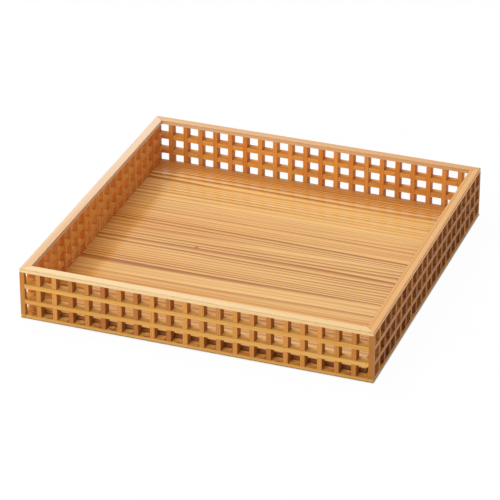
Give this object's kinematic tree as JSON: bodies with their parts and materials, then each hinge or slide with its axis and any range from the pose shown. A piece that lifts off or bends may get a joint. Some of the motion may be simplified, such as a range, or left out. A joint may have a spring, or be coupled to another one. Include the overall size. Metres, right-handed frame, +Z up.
{
  "type": "meal tray",
  "caption": "Square cedar serving tray with a flat board floor and low open lattice walls of half-lapped strips under a mitred rim.",
  "frame": {"origin": "under the middle of the tray, on the surface it stands on", "axes": "+Z up, +X to the right along the front wall, -Y out of the front wall"},
  "size_m": [0.3, 0.3, 0.0452],
  "materials": {
    "rim_wood": "satin",
    "rail_wood": "satin",
    "slat_wood": "satin",
    "post_wood": "satin",
    "board_wood": "satin",
    "batten_wood": "planed"
  },
  "bodies": {
    "root": {"front_top_rail": "rim_wood", "front_lower_rail": "rail_wood", "front_upper_rail": "rail_wood", "front_slats_and_sill": "slat_wood", "right_top_rail": "rim_wood", "right_lower_rail": "rail_wood", "right_upper_rail": "rail_wood", "right_slats_and_sill": "slat_wood", "back_top_rail": "rim_wood", "back_lower_rail": "rail_wood", "back_upper_rail": "rail_wood", "back_slats_and_sill": "slat_wood", "left_top_rail": "rim_wood", "left_lower_rail": "rail_wood", "left_upper_rail": "rail_wood", "left_slats_and_sill": "slat_wood", "front_right_post": "post_wood", "back_right_post": "post_wood", "back_left_post": "post_wood", "front_left_post": "post_wood", "floor_board": "board_wood", "batten_1": "batten_wood", "batten_2": "batten_wood", "batten_3": "batten_wood"}
  },
  "joints": []
}
